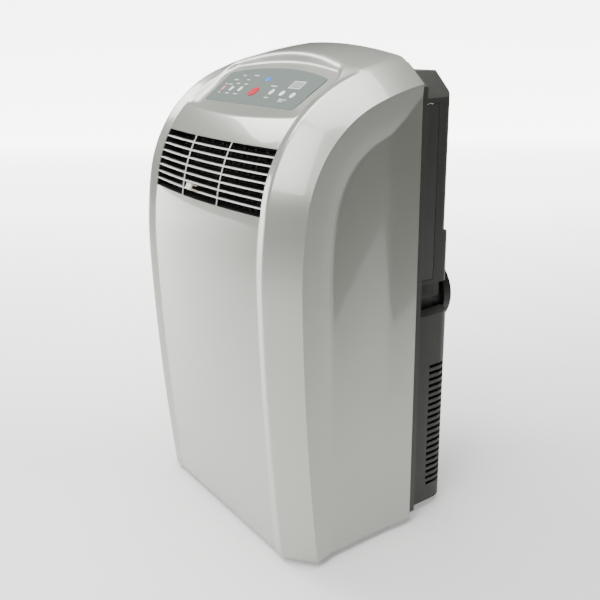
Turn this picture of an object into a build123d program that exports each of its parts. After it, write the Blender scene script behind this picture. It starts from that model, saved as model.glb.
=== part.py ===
"""Portable air conditioner on casters, millimetres.

+Z is up, the air outlet and the keys face -Y, and the origin is on the floor
under the middle of the cabinet.  The cabinet is mirror symmetric about X = 0,
apart from the exhaust outlet and the works inside.
"""
from build123d import *
from math import sin, cos, tan, radians, hypot
import os

# ---------------------------------------------------------------- driving dimensions
# Front shell: the ridge is the soft edge between the crowned front and the side bands.
SHELL_BOTTOM = 12.0          # lower edge of the cabinet above the floor
SHELL_REAR = 73.0            # rear edge of the silver shell
RIDGE_FOOT_Y = -165.0        # the ridge's foot
RIDGE_HEADING = 95.45        # degrees from +Y at the foot
RIDGE_ARCS = [(4700.0, 90.0), (700.0, 79.0), (222.0, 20.0), (509.0, 8.0)]  # radius, end heading
RIDGE_X = 186.0
SIDE_X = 233.6               # widest point, at the outer edge of the band
BAND_INSET = 37.0            # how far the side outline is drawn in at the band's outer edge
PANEL_X = 165.0              # edge of the crowned front
PANEL_STEP = 5.0             # the crowned front lies this far inside the ridge at its edge
CROWN = 16.0                 # rise of the crowned front at its middle
WALL = 3.0

# Side recess of the shell.
RECESS_STEPS = [(74.0, 229.8), (92.0, 227.0)]   # inset of the outline, half width there
FLARE_START_Y = 17.0
FLARE_X = 231.5

# Air outlet in the crowned front: lower and upper end of its chord.
OUTLET_LOW = (-174.0, 574.0)
OUTLET_HIGH = (-134.0, 666.5)
GRILLE_DEPTH = 9.0
SLAT_ROWS = 8
SLAT_THICKNESS = 2.2
GRILLE_BAR_X = 55.0
GRILLE_BAR_WIDTH = 3.0

# Key panel: a plane sunk into the top of the front.
KEYS_Y = -89.0
KEYS_Z = 714.0
KEYS_SLOPE = 33.6
OVERLAY_THICKNESS = 1.0
FLOOR_THICKNESS = 3.0
KEY_TRAVEL = 1.0

# Rear housing.
FRAME_DEPTH = 15.0
REAR_FACE = 180.0
UPPER_X = 188.0
LOWER_X = 210.0
UPPER_Z = (417.0, 759.0)
LOWER_Z = (14.0, 372.0)
COVER_WALL = 2.5
COLLAR_X = 125.0
COLLAR_Z = 387.0
COLLAR_RADIUS = 63.0
COLLAR_END = 197.0

# Base and casters.
DECK_Z = (61.0, 64.0)
CASTER_PLACES = [("front_left", -176.0, -104.0), ("front_right", 176.0, -104.0),
                 ("rear_left", -138.0, 116.0), ("rear_right", 138.0, 116.0)]
CASTER_WHEEL_RADIUS = 22.0
CASTER_TRAIL = 13.0

RUNNING = 0.05               # radial clearance of a shaft in its bore
parts = {}


# ---------------------------------------------------------------- small helpers
def block(low, high):
    """Box between two corners."""
    size = [b - a for a, b in zip(low, high)]
    middle = [(a + b) / 2 for a, b in zip(low, high)]
    return Pos(*middle) * Box(*size)


def rod(start, end, radius):
    """Round bar between two points."""
    start, end = Vector(*start), Vector(*end)
    plane = Plane(origin=start, z_dir=(end - start).normalized())
    return extrude(plane * Circle(radius), amount=(end - start).length)


def both_sides(piece):
    """The piece and its mirror image about X = 0."""
    return piece + mirror(piece, Plane.YZ)


# ---------------------------------------------------------------- outline of the cabinet
def side_outline(inset, x):
    """The cabinet's side outline, drawn in by inset, as a face at x; it overshoots foot and rear."""
    heading = radians(RIDGE_HEADING)
    y = RIDGE_FOOT_Y + inset * sin(heading)
    z = SHELL_BOTTOM - inset * cos(heading)
    below = z - SHELL_BOTTOM + 10
    edges = [Line((x, y - below / tan(heading), z - below), (x, y, z))]
    for radius, end in RIDGE_ARCS:
        end = radians(end)
        middle = (heading + end) / 2
        r = radius - inset
        at = lambda h: (x, y + r * (sin(heading) - sin(h)), z + r * (cos(h) - cos(heading)))
        edges.append(ThreePointArc((x, y, z), at(middle), at(end)))
        _, y, z = at(end)
        heading = end
    rear = SHELL_REAR + 30
    top = z + (rear - y) * tan(heading)
    edges += [Line((x, y, z), (x, rear, top)),
              Line((x, rear, top), (x, rear, SHELL_BOTTOM - 10)),
              Line((x, rear, SHELL_BOTTOM - 10), edges[0] @ 0)]
    return make_face(Wire(edges))


def crown_inset(x):
    return PANEL_STEP - CROWN * (1 - (x / PANEL_X) ** 2)


def slab(*stations):
    """Ruled solid through side outlines, each given as (inset, x)."""
    return loft([side_outline(inset, x) for inset, x in stations], ruled=True)


def cabinet(wall):
    """Solid of the whole shell, drawn in by wall, with the side recesses."""
    stations = [(crown_inset(x) + wall, x) for x in (0, 55, 110, PANEL_X)]
    half = slab(*stations[:2]) + slab(*stations[1:3]) + slab(*stations[2:])
    half += slab((PANEL_STEP + wall, PANEL_X), (wall, RIDGE_X))
    half += slab((wall, RIDGE_X), (BAND_INSET + wall, SIDE_X - wall))
    steps = [(inset, x - wall) for inset, x in RECESS_STEPS]
    recess = slab((BAND_INSET - 1 + wall, SIDE_X - wall + 0.1), steps[0]) + slab(*steps)
    flare = Polyline((200, FLARE_START_Y), (RECESS_STEPS[1][1] - wall, FLARE_START_Y),
                     (FLARE_X - wall, SHELL_REAR), (FLARE_X - wall, 130), (200, 130), close=True)
    recess -= extrude(make_face(flare), amount=900)
    half -= recess
    return both_sides(half)


def trim(z_low, y_rear):
    return block((-300, -300, z_low), (300, y_rear, 900))


outer = cabinet(0) & trim(SHELL_BOTTOM, SHELL_REAR)
inner = cabinet(WALL) & trim(SHELL_BOTTOM - 5, SHELL_REAR + 5)

# ---------------------------------------------------------------- local planes
keys = Plane(origin=(0, KEYS_Y, KEYS_Z), x_dir=(1, 0, 0),
             z_dir=(0, -sin(radians(KEYS_SLOPE)), cos(radians(KEYS_SLOPE))))
chord_y = OUTLET_HIGH[0] - OUTLET_LOW[0]
chord_z = OUTLET_HIGH[1] - OUTLET_LOW[1]
chord = hypot(chord_y, chord_z)
# Outlet plane: local x across, local y up along the chord, local z out of the cabinet.
outlet = Plane(origin=(0, (OUTLET_LOW[0] + OUTLET_HIGH[0]) / 2, (OUTLET_LOW[1] + OUTLET_HIGH[1]) / 2),
               x_dir=(1, 0, 0), z_dir=(0, -chord_z / chord, chord_y / chord))


def on(plane, shape):
    """Shape drawn about the origin, placed on a local plane."""
    return plane.location * shape


# ---------------------------------------------------------------- key panel outlines
def overlay_outline(grow=0.0):
    corner = 10 + grow
    sides = [(-130 - grow, -grow), (130 + grow, -grow), (137 + grow, 74 + grow)]
    wire = Wire([Line(sides[0], sides[1]), Line(sides[1], sides[2]),
                 ThreePointArc(sides[2], (0, 92 + grow), (-sides[2][0], sides[2][1])),
                 Line((-sides[2][0], sides[2][1]), sides[0])])
    face = make_face(wire)
    return fillet(face.vertices(), corner * 0.6)


# Name, place across and up the panel, half width and half height.
KEYS = [("sleep_key", -109, 32, 4.0, 6.0), ("speed_key", -84, 33, 4.0, 6.0),
        ("mode_key", -57, 34, 4.0, 6.0), ("power_key", -13, 31, 10.5, 10.5),
        ("timer_key", 36, 34, 4.5, 6.5), ("cooler_key", 66, 33, 5.0, 6.0),
        ("warmer_key", 96, 31, 5.0, 6.0)]
LENS = (-10.5, 63, 6.5, 5.5)
DISPLAY = (81, 55, 28, 15)

key_holes = [Pos(x, s) * Ellipse(a + 0.4, b + 0.4) for _, x, s, a, b in KEYS]
key_holes.append(Pos(LENS[0], LENS[1]) * Ellipse(LENS[2] + 0.1, LENS[3] + 0.1))
key_holes.append(Pos(DISPLAY[0], DISPLAY[1]) * Rectangle(DISPLAY[2] + 0.2, DISPLAY[3] + 0.2))


def prism(sketch, low, high):
    """Sketch on the key panel's plane, extruded between two levels along its normal."""
    return on(keys, Pos(0, 0, low) * extrude(sketch, amount=high - low))


holes = [prism(sketch, -20, 5) for sketch in key_holes]

# ---------------------------------------------------------------- front shell
pocket_outline = Pos(0, 46) * RectangleRounded(304, 132, 26)
pocket_wall = Pos(0, 46) * RectangleRounded(310, 138, 29)
floor_level = -OVERLAY_THICKNESS
shell = outer - inner
shell += prism(pocket_wall, floor_level - FLOOR_THICKNESS, 60) & outer
shell -= prism(pocket_outline, floor_level, 60)
for hole in holes:
    shell -= hole
window = on(outlet, Box(2 * PANEL_X + 2, chord, 60))
shell -= window
parts["front_shell"] = shell

# ---------------------------------------------------------------- outlet grille
skin = (slab((crown_inset(0), 0), (crown_inset(55), 55)) + slab((crown_inset(55), 55), (crown_inset(110), 110))
        + slab((crown_inset(110), 110), (PANEL_STEP, PANEL_X)))
skin -= (slab((crown_inset(0) + GRILLE_DEPTH, 0), (crown_inset(55) + GRILLE_DEPTH, 55))
         + slab((crown_inset(55) + GRILLE_DEPTH, 55), (crown_inset(110) + GRILLE_DEPTH, 110))
         + slab((crown_inset(110) + GRILLE_DEPTH, 110), (PANEL_STEP + GRILLE_DEPTH, PANEL_X)))
grille = both_sides(skin) & on(outlet, Box(2 * PANEL_X, chord - 0.4, 60))
pitch = (chord - 0.4 - SLAT_THICKNESS) / SLAT_ROWS
column_edges = [-PANEL_X + 2, -GRILLE_BAR_X, GRILLE_BAR_X, PANEL_X - 2]
for row in range(SLAT_ROWS):
    level = (row - (SLAT_ROWS - 1) / 2) * pitch
    for left, right in zip(column_edges, column_edges[1:]):
        low_x = left + (GRILLE_BAR_WIDTH / 2 if left > -PANEL_X + 5 else 0)
        high_x = right - (GRILLE_BAR_WIDTH / 2 if right < PANEL_X - 5 else 0)
        cell = Pos((low_x + high_x) / 2, level) * Box(high_x - low_x, pitch - SLAT_THICKNESS, 90)
        grille -= on(outlet, cell)
parts["outlet_grille"] = grille

# ---------------------------------------------------------------- outlet duct and vanes
DUCT_FRONT = -12.2           # levels along the outlet plane's normal
DUCT_STRAIGHT = -46.0
DUCT_END = -96.0
VANE_PIVOT = -27.0
VANE_CHORD = 26.0
VANE_HEIGHT = 88.0
VANE_PITCH = 33.0
DUCT_WALL = 2.5


def duct_solid(wall):
    """Straight box behind the grille that narrows to the blower's mouth."""
    wide = (2 * (168 - wall), 2 * (50 - wall))
    narrow = (2 * (90 - wall), 2 * (46 - wall))
    extra = 1 if wall else 0
    straight = Pos(0, 0, DUCT_STRAIGHT) * extrude(Rectangle(*wide), amount=DUCT_FRONT - DUCT_STRAIGHT + extra)
    taper = loft([Pos(0, 0, DUCT_STRAIGHT) * Rectangle(*wide), Pos(0, 0, DUCT_END) * Rectangle(*narrow)])
    tail = Pos(0, 0, DUCT_END - extra) * extrude(Rectangle(*narrow), amount=extra) if extra else None
    return straight + taper + tail if tail else straight + taper


duct = duct_solid(0) - duct_solid(DUCT_WALL)
vane_places = [VANE_PITCH * (i - 4) for i in range(9)]
for x in vane_places:
    duct -= Pos(x, 0, VANE_PIVOT) * Rot(90, 0, 0) * Cylinder(2 + RUNNING, 120)
parts["outlet_duct"] = on(outlet, duct)

for i, x in enumerate(vane_places):
    plate = Box(1.6, VANE_HEIGHT, VANE_CHORD)
    pins = Rot(90, 0, 0) * Cylinder(2, 99)
    parts[f"vane_{i + 1}"] = on(outlet, Pos(x, 0, VANE_PIVOT) * (plate + pins))

# The link bar lies behind the grille and straddles each vane's leading edge with two fingers.
LINK_LEVEL = -(chord - 0.4 - SLAT_THICKNESS) / 2 + 1.5 * pitch - 6.2
finger_gap = 5.2
bar = Pos(0, LINK_LEVEL, -11.9) * Box(2 * 140, 3.2, 1.6)
for x in vane_places:
    for side in (-1, 1):
        bar += Pos(x + side * (finger_gap / 2 + 0.8), LINK_LEVEL, -15.0) * Box(1.6, 3.2, 5.0)
parts["vane_link"] = on(outlet, bar)

# The finger tab clips over the lowest slat but one and reaches back to the link bar.
TAB_X = -12.0
SLAT_LEVEL = (-SLAT_ROWS / 2 + 1) * pitch
tab = Pos(TAB_X, SLAT_LEVEL - 3.9, 15.4) * Box(16, 2.4, 12)
tab += Pos(TAB_X, SLAT_LEVEL + 3.6, 17.4) * Box(16, 2.0, 8)
tab += Pos(TAB_X, SLAT_LEVEL - 0.3, 22.2) * Box(16, 9.2, 2.6)
tab += Pos(TAB_X, SLAT_LEVEL - 4.2, 2.0) * Box(4, 3.0, 27.0)
parts["louvre_tab"] = on(outlet, tab)

# ---------------------------------------------------------------- key panel pieces
overlay = prism(overlay_outline(), floor_level, 0)
for hole in holes:
    overlay -= hole
parts["control_overlay"] = overlay
for name, x, s, a, b in KEYS:
    cap = Pos(x, s, -6.0) * extrude(Ellipse(a, b), amount=6.9)
    flange = Pos(x, s, -6.4) * extrude(Ellipse(a + 1.6, b + 1.6), amount=1.2)
    stem = Pos(x, s, -8.6) * Cylinder(1.8, 4.4)
    parts[name] = on(keys, cap + flange + stem)
parts["receiver_lens"] = prism(Pos(LENS[0], LENS[1]) * Ellipse(LENS[2], LENS[3]), -6, 0.4)
parts["display_window"] = prism(Pos(DISPLAY[0], DISPLAY[1]) * Rectangle(DISPLAY[2], DISPLAY[3]), -6, 0.1)

board = Pos(0, 42, -14.4) * Box(250, 68, 1.6)
for name, x, s, a, b in KEYS:
    board += Pos(x, s, -13.1) * Box(5, 5, 1.6)
board += Pos(DISPLAY[0], DISPLAY[1], -10.0) * Box(30, 16, 8)
board += Pos(LENS[0], LENS[1], -10.0) * Cylinder(2.5, 8)
for x in (-115, 115):
    for s in (14, 70):
        board += Pos(x, s, -9.0) * Cylinder(3, 10)
parts["control_board"] = on(keys, board)

# ---------------------------------------------------------------- rear frame and covers
COLLAR_NECK = 56.0
plenum_box = ((62.0, 60.0, 250.0), (182.0, 157.0, 455.0))
plenum_room = block([c - 0.6 for c in plenum_box[0]], [c + 0.6 for c in plenum_box[1]])
pipe_room = rod((-165, 105, 370), (-165, 105, 450), 6)
neck_room = Pos(COLLAR_X, 165, COLLAR_Z) * Rot(90, 0, 0) * Cylinder(COLLAR_NECK + 0.6, 60)

frame_wire = Wire([Line((-227, 20), (-227, 742)), Line((-227, 742), (-183, 775)),
                   ThreePointArc((-183, 775), (0, 792), (183, 775)),
                   Line((183, 775), (227, 742)), Line((227, 742), (227, 20)), Line((227, 20), (-227, 20))])
frame_front = SHELL_REAR + 0.3
frame_face = Plane(origin=(0, frame_front, 0), x_dir=(1, 0, 0), z_dir=(0, -1, 0)) * make_face(frame_wire)
frame = extrude(frame_face, amount=-(FRAME_DEPTH - 0.3))
hollow = offset(frame_face, amount=-3)
hollow = extrude(hollow, amount=-(FRAME_DEPTH - 3.3)) - block((-189, 60, 0), (189, 100, 743.5))
frame = frame - hollow - block((-185.5, 60, 0), (185.5, 100, 740))
band_front = SHELL_REAR + FRAME_DEPTH
band = block((-184, band_front, 392), (184, 170, 416.5)) - block((-181, band_front - 1, 395), (181, 167, 413.5))
frame += band
frame += block((-186, SHELL_REAR + 1, 392), (-180, band_front + 2, 416.5))
frame += block((180, SHELL_REAR + 1, 392), (186, band_front + 2, 416.5))
frame = frame - plenum_room - neck_room - pipe_room
SCREW_PLACES = [(side * 218.5, z) for side in (-1, 1) for z in (110, 330, 560, 720)]
for x, z in SCREW_PLACES:
    frame -= rod((x, 60, z), (x, 100, z), 2.2)
parts["rear_frame"] = frame

PLATE_ZX = Plane(origin=(0, band_front, 0), x_dir=(1, 0, 0), z_dir=(0, -1, 0))


UPPER_CORNER = 12.0            # radius of the upper cover's upright rear corners
SWELL_FACE = 187.0             # the cover stands out to here above the collar
SWELL_Z = (478.0, 505.0)


def rounded_plan(rear, wall, low, high):
    outline = Pos(0, (band_front + rear) / 2) * Rectangle(2 * (UPPER_X - wall), rear - band_front)
    outline = fillet(outline.vertices().group_by(Axis.Y)[-1], UPPER_CORNER - wall)
    return Pos(0, 0, low) * extrude(outline, amount=high - low)


def upper_solid(wall):
    half, top, low = UPPER_X - wall, UPPER_Z[1] - wall, UPPER_Z[0] + wall
    points = [(-half, low), (-half, 720 - wall / 2), (-148 + wall / 2, top), (148 - wall / 2, top),
              (half, 720 - wall / 2), (half, low)]
    front = extrude(PLATE_ZX * make_face(Polyline(*points, close=True)), amount=-(SWELL_FACE - band_front))
    return front & rounded_plan(REAR_FACE - wall, wall, low, top)


slope = Polyline((150, UPPER_Z[0]), (SWELL_FACE, UPPER_Z[0]), (SWELL_FACE, SWELL_Z[0]), (REAR_FACE, SWELL_Z[1]),
                 (150, SWELL_Z[1]), close=True)
swell = extrude(Plane.YZ * make_face(slope), amount=UPPER_X, both=True)
swell &= rounded_plan(SWELL_FACE, 0, UPPER_Z[0], SWELL_Z[1])
swell -= rod((COLLAR_X, REAR_FACE, COLLAR_Z), (COLLAR_X, SWELL_FACE + 1, COLLAR_Z), COLLAR_RADIUS + 1.5)
upper_cover = upper_solid(0) + swell - (Pos(0, -1, 0) * upper_solid(COVER_WALL))
FILTER_Y = (128.0, 150.0)
PLATE_Y = (96.0, 151.5)
FILTER_Z = (425.0, 712.0)
upper_cover -= block((170, PLATE_Y[0] - 0.5, FILTER_Z[0]), (200, PLATE_Y[1] + 0.5, FILTER_Z[1]))
slot_levels = [512 + 12 * i for i in range(17)]
for z in slot_levels:
    upper_cover -= block((-150, 170, z), (150, 185, z + 6))
upper_cover = upper_cover - plenum_room - neck_room - pipe_room
parts["rear_cover_upper"] = upper_cover


LOWER_CORNER = 30.0            # radius of the lower cover's upright rear corners


def lower_solid(wall):
    half, rear = LOWER_X - wall, REAR_FACE - wall
    outline = Pos(0, (band_front + rear) / 2) * Rectangle(2 * half, rear - band_front)
    outline = fillet(outline.vertices().group_by(Axis.Y)[-1], LOWER_CORNER - wall)
    return Pos(0, 0, LOWER_Z[0] + wall) * extrude(outline, amount=LOWER_Z[1] - LOWER_Z[0] - 2 * wall)


lower_cover = lower_solid(0) - lower_solid(COVER_WALL)
lower_cover -= block((-192.5, band_front - 5, 22.5), (192.5, 110, 369.5))
lower_cover -= block((-186, 80, 10), (186, 170, 30))
PLUG_X, PLUG_Z = -60.0, 36.0
GLAND_X, GLAND_Z = 120.0, 110.0
louvre_levels = [46 + 12 * i for i in range(20)]
for z in louvre_levels:
    lower_cover -= both_sides(block((188, 130, z), (215, 174, z + 6)))
    if z > PLUG_Z + 12:
        lower_cover -= block((-140, 170, z), (45, 185, z + 6))
lower_cover = lower_cover - plenum_room - neck_room
lower_cover -= rod((PLUG_X, 160, PLUG_Z), (PLUG_X, 185, PLUG_Z), 10)
lower_cover -= rod((GLAND_X, 160, GLAND_Z), (GLAND_X, 185, GLAND_Z), 9)
parts["rear_cover_lower"] = lower_cover

# Air filter: a framed cartridge that pulls out of the right side, behind its own end plate.
end_plate = block((184, PLATE_Y[0], FILTER_Z[0] + 0.5), (188, PLATE_Y[1], FILTER_Z[1] - 0.5))
end_plate -= block((185.5, 90, 560), (190, 103, 700))
cartridge = block((-160, FILTER_Y[0], 462), (184, FILTER_Y[1], 708))
cartridge -= block((-152, 120, 470), (176, 170, 700))
cartridge += block((-152, 138, 470), (176, 139, 700))
for x in (-80, 0, 80):
    cartridge += block((x, 135, 468), (x + 3, 142, 702))
parts["air_filter"] = end_plate + cartridge

# Exhaust collar: a neck through the rear wall, a flange and the spigot for the hose.
neck = Cylinder(COLLAR_NECK, 24.4) - Cylinder(COLLAR_NECK - 3, 26)
flange = Cylinder(COLLAR_RADIUS, 3) - Cylinder(COLLAR_NECK - 3, 4)
spigot = Cylinder(COLLAR_RADIUS, COLLAR_END - 180.5) - Cylinder(COLLAR_RADIUS - 5, 40)
collar = Pos(0, 0, 157 + 12.2) * neck + Pos(0, 0, 182) * flange + Pos(0, 0, (COLLAR_END + 180.5) / 2) * spigot
for turn in (45, 135, 225, 315):
    collar += Rot(0, 0, turn) * Pos(COLLAR_RADIUS - 7, 0, 190) * Box(6, 12, 5)
parts["exhaust_collar"] = Pos(COLLAR_X, 0, COLLAR_Z) * Rot(-90, 0, 0) * collar

screws = None
for x, z in SCREW_PLACES:
    y = SHELL_REAR + FRAME_DEPTH
    screw = rod((x, y, z), (x, y + 2.4, z), 4.2) + rod((x, y - 13, z), (x, y, z), 2.0)
    screw -= block((x - 2.2, y + 1.2, z - 0.5), (x + 2.2, y + 3, z + 0.5))
    screw -= block((x - 0.5, y + 1.2, z - 2.2), (x + 0.5, y + 3, z + 2.2))
    screws = screw if screws is None else screws + screw
parts["frame_screws"] = screws

# ---------------------------------------------------------------- base tray and casters
def tray_solid(drop, low, high):
    front = Polyline((-183 + drop, -156 + drop), (183 - drop, -156 + drop), (221 - drop, -124 + drop),
                     (221 - drop, 72 - drop), (-221 + drop, 72 - drop), (-221 + drop, -124 + drop), close=True)
    rear = Pos(0, 84) * RectangleRounded(2 * (184 - drop), 2 * (84 - drop), 46 - drop)
    return Pos(0, 0, low) * extrude(make_face(front) + rear, amount=high - low)


tray = tray_solid(0, 14, DECK_Z[1]) - tray_solid(3, 10, DECK_Z[0])
for _, x, y in CASTER_PLACES:
    tray += rod((x, y, 59), (x, y, 78), 12)
    tray -= rod((x, y, 50), (x, y, 90), 5 + RUNNING)
tray += rod((PLUG_X, 150, PLUG_Z), (PLUG_X, 168, PLUG_Z), 10)
tray -= rod((PLUG_X, 140, PLUG_Z), (PLUG_X, 180, PLUG_Z), 7)
parts["base_tray"] = tray
parts["drain_plug"] = rod((PLUG_X, 154, PLUG_Z), (PLUG_X, 181, PLUG_Z), 6.9) \
    + rod((PLUG_X, 168.4, PLUG_Z), (PLUG_X, 183, PLUG_Z), 9)
parts["cord_gland"] = rod((GLAND_X, 175, GLAND_Z), (GLAND_X, 182.5, GLAND_Z), 9) \
    + rod((GLAND_X, 180, GLAND_Z), (GLAND_X, 182.5, GLAND_Z), 12) \
    - rod((GLAND_X, 160, GLAND_Z), (GLAND_X, 186, GLAND_Z), 4)

for name, x, y in CASTER_PLACES:
    hub_y = y + CASTER_TRAIL
    fork = rod((x, y, 54), (x, y, 58), 15)
    fork += rod((x, y, 58), (x, y, 77), 5)
    for side in (-1, 1):
        cheek = block((x + side * 12 - 1.5, y - 8, 40), (x + side * 12 + 1.5, y + 8, 56))
        cheek += block((x + side * 12 - 1.5, y - 2, 22), (x + side * 12 + 1.5, hub_y + 6, 44))
        cheek += rod((x + side * 12 - 1.5, hub_y, 22), (x + side * 12 + 1.5, hub_y, 22), 6)
        fork += cheek
    fork += rod((x - 13.5, hub_y, 22), (x + 13.5, hub_y, 22), 3)
    parts[f"caster_fork_{name}"] = fork
    wheel = rod((x - 10, hub_y, 22), (x + 10, hub_y, 22), CASTER_WHEEL_RADIUS)
    wheel = chamfer(wheel.edges(), 1.5) - rod((x - 11, hub_y, 22), (x + 11, hub_y, 22), 3 + RUNNING)
    wheel -= rod((x - 11, hub_y, 22), (x - 7, hub_y, 22), 14) - rod((x - 11, hub_y, 22), (x - 6, hub_y, 22), 6)
    wheel -= rod((x + 7, hub_y, 22), (x + 11, hub_y, 22), 14) - rod((x + 6, hub_y, 22), (x + 11, hub_y, 22), 6)
    parts[f"caster_wheel_{name}"] = wheel

# ---------------------------------------------------------------- cooling works
parts["middle_deck"] = block((-178, -120, 422), (178, 116, 425)) - plenum_room - pipe_room


def blower_wheel(radius, length, blades):
    """Squirrel-cage wheel about Z, with its hub plate at z = 0 and a ring at the open end."""
    wheel = Cylinder(radius, 3, align=(Align.CENTER, Align.CENTER, Align.MIN))
    ring = Cylinder(radius, 4) - Cylinder(radius - 12, 5)
    wheel += Pos(0, 0, length - 2) * ring
    wheel += Pos(0, 0, 8) * Cylinder(14, 16)
    for i in range(blades):
        wheel += Rot(0, 0, 360 / blades * i) * Pos(radius - 6.5, 0, length / 2) * Rot(0, 0, 35) * Box(10, 1.4, length - 3)
    return wheel


# Lower blower: axis along Y, driven from the front, blowing up into the exhaust plenum.
LOW_X, LOW_Z = 20.0, 250.0
scroll_at = Pos(LOW_X, 105, LOW_Z) * Rot(90, 0, 0)
lower_scroll = scroll_at * Cylinder(95, 90) + block(*plenum_box)
lower_scroll -= scroll_at * Cylinder(92, 84)
lower_scroll -= block((65, 63, 250), (179, 154, 452))
lower_scroll -= rod((LOW_X, 140, LOW_Z), (LOW_X, 160, LOW_Z), 58)
lower_scroll -= rod((LOW_X, 50, LOW_Z), (LOW_X, 70, LOW_Z), 12)
lower_scroll -= rod((COLLAR_X, 150, COLLAR_Z), (COLLAR_X, 160, COLLAR_Z), COLLAR_NECK - 3)
parts["exhaust_blower_housing"] = lower_scroll
lower_wheel = blower_wheel(72, 70, 28) + Pos(0, 0, -21) * Cylinder(4, 60)
parts["exhaust_blower_wheel"] = Pos(LOW_X, 68, LOW_Z) * Rot(-90, 0, 0) * lower_wheel
lower_motor = rod((LOW_X, 4, LOW_Z), (LOW_X, 60, LOW_Z), 42) - rod((LOW_X, 10, LOW_Z), (LOW_X, 62, LOW_Z), 4 + RUNNING)
parts["exhaust_blower_motor"] = lower_motor

# Upper blower: axis along X, mouth on the outlet duct.
SCROLL_RADIUS = 84.0
MOUTH_LENGTH = SCROLL_RADIUS + 2
scroll = Plane(origin=outlet.from_local_coords((0, -38, DUCT_END - MOUTH_LENGTH)), x_dir=(1, 0, 0),
               z_dir=outlet.z_dir)


def scroll_solid(wall):
    drum = Rot(0, 90, 0) * Cylinder(SCROLL_RADIUS - wall, 180 - 2 * wall)
    mouth = Pos(0, 38, (MOUTH_LENGTH + wall) / 2) * Box(180 - 2 * wall, 2 * (46 - wall), MOUTH_LENGTH + wall)
    return drum + mouth


room_scroll = scroll_solid(0) - scroll_solid(3)
room_scroll -= Pos(-90, 0, 0) * Rot(0, 90, 0) * Cylinder(46, 10)
room_scroll -= Pos(90, 0, 0) * Rot(0, 90, 0) * Cylinder(12, 10)
parts["room_blower_housing"] = on(scroll, room_scroll)
room_wheel = blower_wheel(64, 150, 24) + Pos(0, 0, -26) * Cylinder(4, 60)
parts["room_blower_wheel"] = on(scroll, Pos(78, 0, 0) * Rot(0, -90, 0) * room_wheel)
room_motor = Pos(120, 0, 0) * Rot(0, 90, 0) * Cylinder(38, 60)
room_motor -= Pos(116, 0, 0) * Rot(0, 90, 0) * Cylinder(4 + RUNNING, 60)
parts["room_blower_motor"] = on(scroll, room_motor)


def coil(x0, x1, y0, y1, z0, z1, spacing):
    """Fin stack as plates across a row of tubes, between two tube sheets."""
    piece = block((x0, y0, z0), (x0 + 2, y1, z1)) + block((x1 - 2, y0, z0), (x1, y1, z1))
    rows = int((z1 - z0) / spacing)
    for i in range(rows):
        z = z0 + spacing * (i + 0.5)
        piece += rod((x0 - 3, (y0 + y1) / 2, z), (x1 + 3, (y0 + y1) / 2, z), 4)
    for i in range(1, 30):
        x = x0 + (x1 - x0) * i / 30
        piece += block((x, y0 + 1, z0 + 1), (x + 1, y1 - 1, z1 - 1))
    return piece


parts["evaporator_coil"] = coil(-150, 150, 92, 118, 455.5, 700, 24.4)
parts["condenser_coil"] = coil(-144, 50, 152, 165, 84, 340, 25.6)

COMPRESSOR = (-94.0, -50.0)
cx, cy = COMPRESSOR
can = fillet(rod((cx, cy, 82), (cx, cy, 300), 58).edges(), 18)
can += block((cx - 62, cy - 62, 80), (cx + 62, cy + 62, 84)) & rod((cx, cy, 80), (cx, cy, 84), 80)
can -= rod((cx, cy, 100), (cx, cy, 282), 46)
accumulator = fillet(rod((cx, cy - 80, 110), (cx, cy - 80, 250), 20).edges(), 8)
can += block((cx - 6, cy - 64, 150), (cx + 6, cy - 50, 170)) + accumulator
parts["compressor"] = can
feet = None
for dx, dy in ((-50, -50), (50, -50), (-50, 50), (50, 50)):
    foot = rod((cx + dx, cy + dy, DECK_Z[1]), (cx + dx, cy + dy, 80), 10)
    feet = foot if feet is None else feet + foot
parts["compressor_feet"] = feet


def pipe(points, radius, bend):
    path = FilletPolyline(*points, radius=bend)
    plane = Plane(origin=path @ 0, z_dir=path % 0)
    return sweep(plane * Circle(radius), path=path)


discharge = pipe([(cx, cy, 300), (cx, cy, 350), (-165, cy, 350), (-165, 158.5, 350), (-165, 158.5, 314),
                  (-147, 158.5, 314)], 3.5, 9)
suction = pipe([(cx, cy - 80, 250), (cx, cy - 80, 380), (-165, cy - 80, 380), (-165, 105, 380),
                (-165, 105, 492), (-153, 105, 492)], 4, 9)
parts["refrigerant_pipes"] = discharge + suction

parts["electrical_box"] = block((70, -130, 90), (180, -40, 330)) - block((73, -127, 93), (177, -37, 327)) \
    + block((73, -43, 93), (177, -40, 327)) + block((70, -85, 64), (180, -82, 90))

# ---------------------------------------------------------------- files
os.makedirs("parts", exist_ok=True)
for name, shape in parts.items():
    export_step(shape, f"parts/{name}.step")
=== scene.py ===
import math

import bmesh
import bpy
from mathutils import Matrix, Vector


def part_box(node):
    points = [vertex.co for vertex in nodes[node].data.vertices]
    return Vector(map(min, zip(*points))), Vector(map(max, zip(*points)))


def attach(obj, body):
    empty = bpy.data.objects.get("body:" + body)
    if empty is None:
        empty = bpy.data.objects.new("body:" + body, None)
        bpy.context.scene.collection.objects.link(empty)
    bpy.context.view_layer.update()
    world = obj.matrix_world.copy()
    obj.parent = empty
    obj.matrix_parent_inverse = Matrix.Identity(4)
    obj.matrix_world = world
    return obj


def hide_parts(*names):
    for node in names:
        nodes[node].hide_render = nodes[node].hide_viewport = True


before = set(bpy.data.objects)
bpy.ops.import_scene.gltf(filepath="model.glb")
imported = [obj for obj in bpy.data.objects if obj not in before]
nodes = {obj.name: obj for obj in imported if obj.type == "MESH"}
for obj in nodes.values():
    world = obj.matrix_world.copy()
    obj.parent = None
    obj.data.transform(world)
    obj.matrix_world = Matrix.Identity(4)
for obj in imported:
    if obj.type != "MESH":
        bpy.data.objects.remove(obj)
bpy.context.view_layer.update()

scene = bpy.context.scene


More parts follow.
